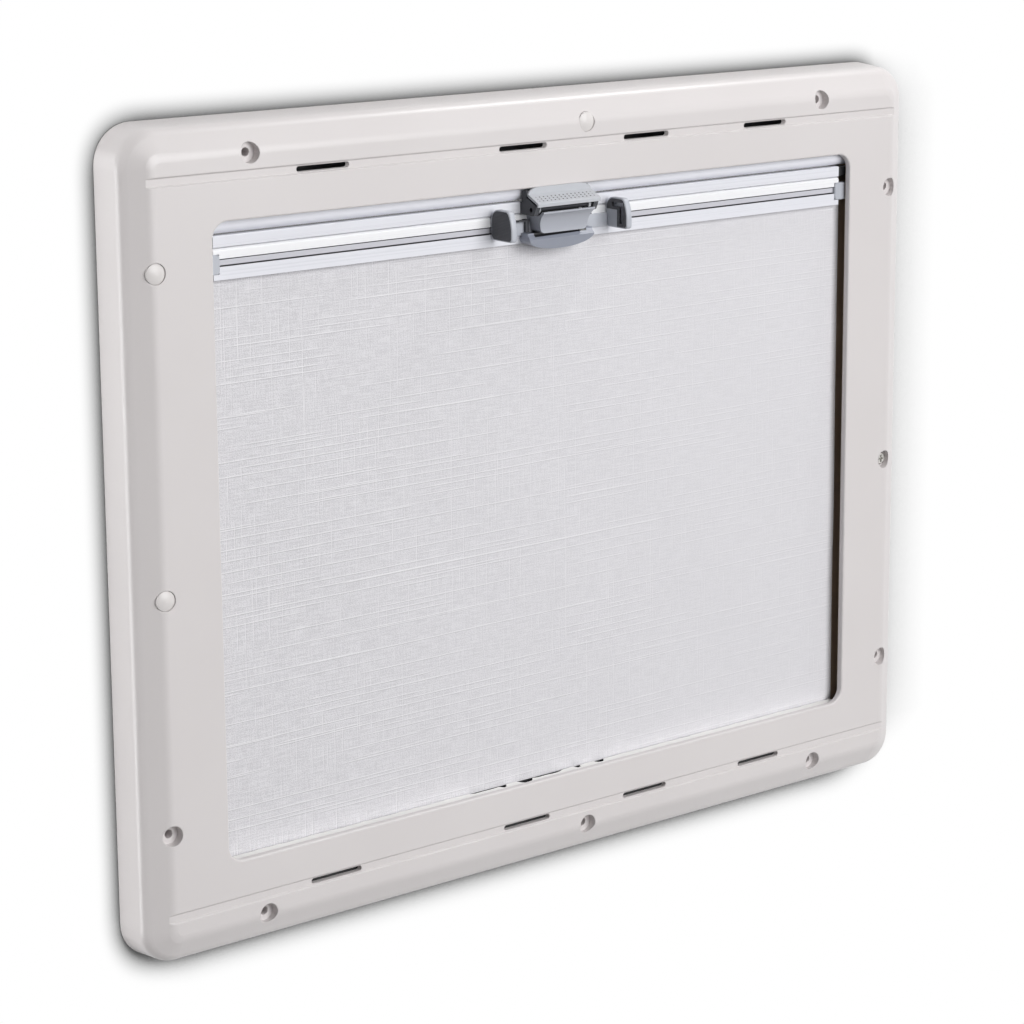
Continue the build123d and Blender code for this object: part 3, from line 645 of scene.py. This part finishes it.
def finish_piece(piece, body, material, slot, *stands_for):
    """The piece smoothed by angle, finished, riding its body and standing for its nodes."""
    smooth_below = math.radians(32.0)
    bpy.ops.object.select_all(action="DESELECT")
    piece.select_set(True)
    bpy.context.view_layer.objects.active = piece
    bpy.ops.object.shade_smooth_by_angle(angle=smooth_below)
    piece.data.materials.clear()
    piece.data.materials.append(material)
    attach(piece, body)
    if stands_for:
        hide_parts(*stands_for)


def plate(name, corners, near_x, far_x):
    """A flat plate from near_x to far_x; each corner has its Y, its Z and its rounding's reach."""
    same_place = 1e-7
    piece = start(
        bpy.ops.mesh.primitive_circle_add, name, vertices=len(corners), radius=0.01, fill_type="NGON"
    )
    for vertex, corner in zip(piece.data.vertices, corners):
        vertex.co = (near_x, corner[0], corner[1])
    for y, z, reach in corners:
        for vertex in piece.data.vertices:
            vertex.select = (vertex.co - Vector((near_x, y, z))).length < same_place
        for edge in piece.data.edges:
            edge.select = False
        for face in piece.data.polygons:
            face.select = False
        bpy.ops.object.mode_set(mode="EDIT")
        bpy.ops.mesh.select_mode(type="VERT")
        bpy.ops.mesh.bevel(offset=reach, segments=8, profile=0.5, affect="VERTICES")
        bpy.ops.object.mode_set(mode="OBJECT")
    bpy.ops.object.mode_set(mode="EDIT")
    bpy.ops.mesh.select_all(action="SELECT")
    bpy.ops.mesh.extrude_region_move(TRANSFORM_OT_translate={"value": (far_x - near_x, 0.0, 0.0)})
    bpy.ops.mesh.select_all(action="SELECT")
    bpy.ops.mesh.normals_make_consistent(inside=False)
    bpy.ops.object.mode_set(mode="OBJECT")
    return piece


def soften(piece, width, segments=3):
    """Sharp edges rounded by width."""
    sharp = math.radians(40.0)
    apply_modifier(
        piece, "BEVEL", width=width, segments=segments, limit_method="ANGLE", angle_limit=sharp
    )


# Squeeze grips: a rounded tab on its bar, with a soft pad on each side and a finger slot inside
def hook_slot(inner_x, sign, front_y, top_z):
    """Cutters for the hook-shaped slot in a grip's inner side."""
    slot_depth, clear, inset, drop = 0.0026, 0.002, 0.0046, 0.0036
    leg_width, leg_height, arm_length, arm_height = 0.0040, 0.0165, 0.0130, 0.0034
    near, far = sorted((inner_x - sign * clear, inner_x + sign * slot_depth))
    slot_y, slot_top = front_y + inset, top_z - drop
    return [
        block("leg", (near, slot_y, slot_top - leg_height), (far, slot_y + leg_width, slot_top)),
        block("arm", (near, slot_y, slot_top - arm_height), (far, slot_y + arm_length, slot_top)),
    ]


def squeeze_grip(side, sign):
    """One grip's tab and bar, and its two pads, on its sliding body."""
    low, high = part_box("grip_" + side)
    tab_width, back_gap, front_reach = 0.0056, 0.0016, 0.0018
    slant, slant_height = 0.0042, 0.0100
    outer_x = low.x if sign < 0 else high.x
    inner_x = outer_x - sign * tab_width
    back_y, front_y = high.y - back_gap, low.y - front_reach
    top_z, foot_z = high.z, low.z
    corners = [
        (back_y, top_z, 0.0078),
        (front_y + slant, top_z, 0.0030),
        (front_y, top_z - slant_height, 0.0050),
        (front_y, foot_z, 0.0030),
        (back_y, foot_z, 0.0042),
    ]
    tab = plate("grip_" + side + "_tab", corners, inner_x, outer_x)
    soften(tab, 0.0011)
    cut(tab, hook_slot(inner_x, sign, front_y, top_z))
    bar_end, bar_thickness, bar_foot, bar_top = sign * 0.022, 0.0020, 0.0006, 0.0112
    bar_low = (min(inner_x, bar_end), back_y - bar_thickness, foot_z + bar_foot)
    bar = block("bar", bar_low, (max(inner_x, bar_end), back_y, foot_z + bar_top))
    soften(bar, 0.0004, 2)
    join(tab, [bar])
    finish_piece(tab, side + "_grip", light_fitting, "fitting_light", "grip_" + side)

    rim, back_rim, proud, sunk = 0.0009, 0.0015, 0.0003, 0.0012
    pad_corners = [
        (back_y - back_rim, top_z - rim, 0.0072),
        (front_y + slant + rim * 0.7, top_z - rim, 0.0027),
        (front_y + rim, top_z - slant_height - rim * 0.3, 0.0048),
        (front_y + rim, foot_z + rim, 0.0025),
        (back_y - back_rim, foot_z + rim, 0.0036),
    ]
    pads_name = "grip_" + side + "_pads"
    outer_pad = plate(pads_name, pad_corners, outer_x - sign * sunk, outer_x + sign * proud)
    soften(outer_pad, 0.0003, 2)
    inner_pad = plate("inner_pad", pad_corners, inner_x + sign * sunk, inner_x - sign * proud)
    clear, gap_depth = 0.002, 0.003
    gap_near, gap_far = sorted((inner_x - sign * clear, inner_x + sign * gap_depth))
    gap_front, gap_top = front_y + 0.0118, top_z - 0.0095
    gap_low = (gap_near, gap_front, foot_z - clear)
    bar_gap = block("bar_gap", gap_low, (gap_far, back_y + clear, gap_top))
    cut(inner_pad, [*hook_slot(inner_x, sign, front_y, top_z), bar_gap])
    soften(inner_pad, 0.0003, 2)
    join(outer_pad, [inner_pad])
    finish_piece(outer_pad, side + "_grip", finishes["grip_rubber"], "grip_rubber", "grip_pad_" + side)


for side, sign in (("left", -1), ("right", 1)):
    squeeze_grip(side, sign)


# Fixing screw: a pan head with a cross recess on a pointed shank
def fixing_screw():
    """The one screw in the frame, along Y with its head towards the room."""
    low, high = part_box("fixing_screw")
    centre_x, centre_z = (low.x + high.x) / 2, (low.z + high.z) / 2
    head_radius, head_height, head_round = (high.x - low.x) / 2, 0.0032, 0.0016
    shank_radius, tip_length, tip_radius = 0.00225, 0.006, 0.0003
    front_tolerance = 1e-6
    upright = (math.radians(90.0), 0.0, 0.0)
    head = start(
        bpy.ops.mesh.primitive_cylinder_add, "fixing_screw_body", vertices=48, radius=head_radius,
        depth=head_height, location=(centre_x, low.y + head_height / 2, centre_z), rotation=upright,
    )
    settle(head)
    for edge in head.data.edges:
        ends = [head.data.vertices[index].co for index in edge.vertices]
        edge.select = all(end.y < low.y + front_tolerance for end in ends)
    bpy.ops.object.mode_set(mode="EDIT")
    bpy.ops.mesh.bevel(offset=head_round, segments=5, profile=0.5)
    bpy.ops.object.mode_set(mode="OBJECT")
    long_half, short_half, recess, clear = 0.0030, 0.00065, 0.0018, 0.001
    cut(head, [
        block(
            name, (centre_x - half_x, low.y - clear, centre_z - half_z),
            (centre_x + half_x, low.y + recess, centre_z + half_z),
        )
        for name, half_x, half_z in (("across", long_half, short_half), ("upward", short_half, long_half))
    ])
    shank_length = high.y - low.y - head_height - tip_length
    shank = start(
        bpy.ops.mesh.primitive_cylinder_add, "shank", vertices=32, radius=shank_radius,
        depth=shank_length, location=(centre_x, low.y + head_height + shank_length / 2, centre_z),
        rotation=upright,
    )
    settle(shank)
    tip = start(
        bpy.ops.mesh.primitive_cone_add, "tip", vertices=32, radius1=tip_radius, radius2=shank_radius,
        depth=tip_length, location=(centre_x, high.y - tip_length / 2, centre_z), rotation=upright,
    )
    settle(tip)
    join(head, [shank, tip])
    finish_piece(head, "window", finishes["screw_steel"], "screw_steel", "fixing_screw")


fixing_screw()


# Soft pile strip between the frame's lower lip and the blind, with a few gaps in its edge, and a black
# strip in front of the cloth below it as painted shade in the gap
def sill_pile():
    """A pale strip behind the lower lip whose edge along the cloth is uneven, and a black strip just in
    front of the cloth under it as painted shade.
    """
    half_length, lip_back_y, top_z = 0.3135, -0.035, -0.2404
    thickness, crown, least_width, cloth_gap = 0.0024, 0.0004, 0.0006, 0.0009
    cloth_front_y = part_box("blind_fabric")[0].y - 0.0004
    shade_front, shade_back, shade_foot, shade_top = 0.0005, 0.0001, 0.0065, 0.0006
    gaps = (
        (-0.065, 0.034, 0.0022), (-0.050, 0.006, 0.0040), (-0.0275, 0.013, 0.0062),
        (-0.005, 0.031, 0.0030), (0.027, 0.006, 0.0048), (0.050, 0.009, 0.0044),
    )
    strip = start(
        bpy.ops.mesh.primitive_grid_add, "sill_pile", x_subdivisions=520, y_subdivisions=4, size=1.0
    )
    for vertex in strip.data.vertices:
        x = vertex.co.x * 2 * half_length
        waves = 0.0003 * math.sin(143.0 * x) + 0.0002 * math.sin(391.0 * x + 1.0)
        edge_y = cloth_front_y - cloth_gap - waves
        for middle, width, depth in gaps:
            edge_y -= depth * math.exp(-(((x - middle) / (0.5 * width)) ** 6))
        edge_y = max(edge_y, lip_back_y + least_width)
        share = vertex.co.y + 0.5
        vertex.co = (x, lip_back_y + (edge_y - lip_back_y) * share, top_z - crown * (1.0 - share))
    apply_modifier(strip, "SOLIDIFY", thickness=thickness, offset=-1.0)
    finish_piece(strip, "window", pale_pile, "frame_plastic")
    # Painted shade: a black strip where the gap would only be in shade
    shade_low = (-half_length, cloth_front_y - shade_front, top_z - shade_foot)
    shade_high = (half_length, cloth_front_y - shade_back, top_z - shade_top)
    shade_strip = block("sill_shade_strip", shade_low, shade_high)
    soften(shade_strip, 0.0001, 2)
    finish_piece(shade_strip, "window", black_runner, "runner_black")


sill_pile()


# Black blocks across the back of the lower air slots, as painted shade inside them
def slot_shade_blocks():
    """One black block behind each lower air slot's collar, all as one mesh, as painted shade inside the
    slots.
    """
    end_x, middle_x, spread, slot_z, collar_back_y = 0.2185, 0.029, 0.062, -0.2722, -0.0334
    half_width, half_height, depth = 0.0240, 0.0026, 0.0006
    strips = []
    for x in (-end_x, middle_x - spread, middle_x + spread, end_x):
        strip_low = (x - half_width, collar_back_y, slot_z - half_height)
        strip_high = (x + half_width, collar_back_y + depth, slot_z + half_height)
        strip = block("slot_shade_blocks", strip_low, strip_high)
        soften(strip, 0.0002, 2)
        strips.append(strip)
    join(strips[0], strips[1:])
    # Painted shade: the blocks black so the slots look dark
    finish_piece(strips[0], "window", black_runner, "runner_black")


slot_shade_blocks()


# Stage: a pale floor under the window, and a white wall behind that is clear from its back
def light_path_mix(tree, seen_shader, other_shader):
    """One shader for rays that show the background, the other for rays that carry light."""
    rays = add(tree, "ShaderNodeLightPath")
    shows = combine(
        tree,
        "MAXIMUM",
        combine(tree, "MAXIMUM", rays.outputs["Is Camera Ray"], rays.outputs["Is Glossy Ray"]),
        rays.outputs["Is Transmission Ray"],
    )
    either = add(tree, "ShaderNodeMixShader")
    tree.links.new(shows, either.inputs["Fac"])
    tree.links.new(other_shader.outputs[0], either.inputs[1])
    tree.links.new(seen_shader.outputs[0], either.inputs[2])
    return either


def stage_plane(name, size, place, turn):
    """A square stage piece that casts no shadow of its own, with its bare material."""
    bpy.ops.object.select_all(action="DESELECT")
    bpy.ops.mesh.primitive_plane_add(size=size, location=place, rotation=turn)
    plane = bpy.context.object
    plane.name = name
    plane.visible_shadow = False
    material = bpy.data.materials.new(name + " paint")
    material.use_nodes = True
    material.node_tree.nodes.remove(material.node_tree.nodes["Principled BSDF"])
    plane.data.materials.append(material)
    return material.node_tree, material.node_tree.nodes["Material Output"].inputs["Surface"]


def diffuse(tree, grey):
    """A plain grey diffuse shader for the stage."""
    shader = add(tree, "ShaderNodeBsdfDiffuse")
    shader.inputs["Color"].default_value = (grey, grey, grey, 1.0)
    return shader


def pale_floor():
    """A floor well under the window that shows white with soft shadows, and bounces little light."""
    drop = 0.55
    tree, surface = stage_plane("floor", 30.0, (0.0, 0.0, cad_box[0].z - drop), (0.0, 0.0, 0.0))
    glow = add(tree, "ShaderNodeEmission")
    glow.inputs["Strength"].default_value = 0.5
    seen = add(tree, "ShaderNodeAddShader")
    tree.links.new(diffuse(tree, 0.8).outputs[0], seen.inputs[0])
    tree.links.new(glow.outputs[0], seen.inputs[1])
    tree.links.new(light_path_mix(tree, seen, diffuse(tree, 0.25)).outputs[0], surface)


def white_wall():
    """A wall behind the window that shows white, with a painted soft shadow round the frame from the
    occlusion of nearby geometry, made stronger under the window and at its right.
    """
    back_gap = 0.0005
    tree, surface = stage_plane("wall", 6.0, (0.0, back_gap, 0.0), (math.radians(90.0), 0.0, 0.0))
    low, high = cad_box
    x, z = split(tree, add(tree, "ShaderNodeNewGeometry").outputs["Position"])[::2]
    foot, above_foot = low.z - 0.01, low.z + 0.03
    below = combine(
        tree,
        "MULTIPLY",
        ramp(tree, z, foot, above_foot, 1.0, 0.0),
        ramp(tree, x, low.x - 0.02, low.x + 0.06),
    )
    upright = combine(
        tree,
        "MULTIPLY",
        ramp(tree, z, foot, above_foot),
        ramp(tree, z, high.z - 0.03, high.z + 0.05, 1.0, 0.0),
    )
    beside = combine(tree, "MULTIPLY", ramp(tree, x, high.x - 0.005, high.x + 0.045), upright)

    def by_place(plain, under, right_hand):
        """A plain value with what is added to it under the window and at its right side."""
        added = combine(
            tree,
            "ADD",
            combine(tree, "MULTIPLY", below, under),
            combine(tree, "MULTIPLY", beside, right_hand),
        )
        return combine(tree, "ADD", plain, added)

    nearby = add(tree, "ShaderNodeAmbientOcclusion", samples=24)
    tree.links.new(by_place(0.021, 0.019, 0.054), nearby.inputs["Distance"])
    hidden = combine(tree, "MAXIMUM", combine(tree, "SUBTRACT", 1.0, nearby.outputs["AO"]), 0.0)
    near_edge = combine(tree, "POWER", hidden, by_place(1.36, 0.69, 0.0))
    # Painted shadow: the wall's glow dimmed where the frame is near
    halo = combine(tree, "MULTIPLY", near_edge, by_place(2.6, 10.0, 3.6))
    bright = combine(tree, "MINIMUM", combine(tree, "SUBTRACT", 1.03, halo), 1.0)
    white = add(tree, "ShaderNodeEmission")
    tree.links.new(combine(tree, "MAXIMUM", bright, 0.1), white.inputs["Strength"])
    side = add(tree, "ShaderNodeMixShader")
    tree.links.new(add(tree, "ShaderNodeNewGeometry").outputs["Backfacing"], side.inputs["Fac"])
    tree.links.new(light_path_mix(tree, white, diffuse(tree, 0.8)).outputs[0], side.inputs[1])
    tree.links.new(add(tree, "ShaderNodeBsdfTransparent").outputs[0], side.inputs[2])
    tree.links.new(side.outputs[0], surface)


pale_floor()
white_wall()


# Light: a large soft key from the right of the room, a small one overhead for the moulded
# edges, a rim from the left behind, a strip whose glint follows the left edge, and a dim sky
def softbox(name, place, size, power):
    """A lamp of the given width and height that faces the middle of the window."""
    bpy.ops.object.light_add(type="AREA", location=place)
    lamp = bpy.context.object
    lamp.name = name
    lamp.data.shape = "RECTANGLE"
    lamp.data.size, lamp.data.size_y = size
    lamp.data.energy = power
    lamp.rotation_euler = (-Vector(place)).to_track_quat("-Z", "Y").to_euler()
    return lamp


softbox("key softbox", (0.65, -3.14, 1.11), (2.4, 2.4), 104.0)
softbox("overhead softbox", (1.35, -0.35, 2.0), (0.6, 0.4), 11.5)
softbox("rim softbox", (-2.4, 1.2, 0.4), (1.4, 1.4), 45.0)
edge_strip = softbox("edge strip", (-1.7, 0.5, -0.39), (0.2, 1.2), 13.0)
edge_strip.visible_diffuse = False

world = bpy.data.worlds.new("studio")
bpy.context.scene.world = world
world.use_nodes = True
sky = world.node_tree
dim = sky.nodes["Background"]
dim.inputs["Color"].default_value = (1.0, 1.0, 1.0, 1.0)
dim.inputs["Strength"].default_value = 0.14
bright = add(sky, "ShaderNodeBackground")
bright.inputs["Color"].default_value = (1.0, 1.0, 1.0, 1.0)
sky.links.new(light_path_mix(sky, bright, dim).outputs[0], sky.nodes["World Output"].inputs["Surface"])

# Camera at the photograph's angle
camera_data = bpy.data.cameras.new("camera")
camera = bpy.data.objects.new("camera", camera_data)
bpy.context.scene.collection.objects.link(camera)
bpy.context.scene.camera = camera
yaw, pitch, roll = math.radians(38.396), math.radians(-11.72), math.radians(-0.271)
forward = Vector((math.sin(yaw) * math.cos(pitch), math.cos(yaw) * math.cos(pitch), math.sin(pitch)))
level = Vector((math.cos(yaw), -math.sin(yaw), 0.0))
upward = level.cross(forward)
right = level * math.cos(roll) + upward * math.sin(roll)
upright = upward * math.cos(roll) - level * math.sin(roll)
camera_turn = Matrix((right, upright, -forward)).transposed().to_4x4()
camera.matrix_world = Matrix.Translation((-1.4177, -1.8038, 0.5367)) @ camera_turn
camera_data.sensor_width = 36.0
camera_data.lens = 103.22
camera_data.shift_x = -0.0265
camera_data.shift_y = -0.1056

bpy.context.scene.view_settings.view_transform = "Standard"
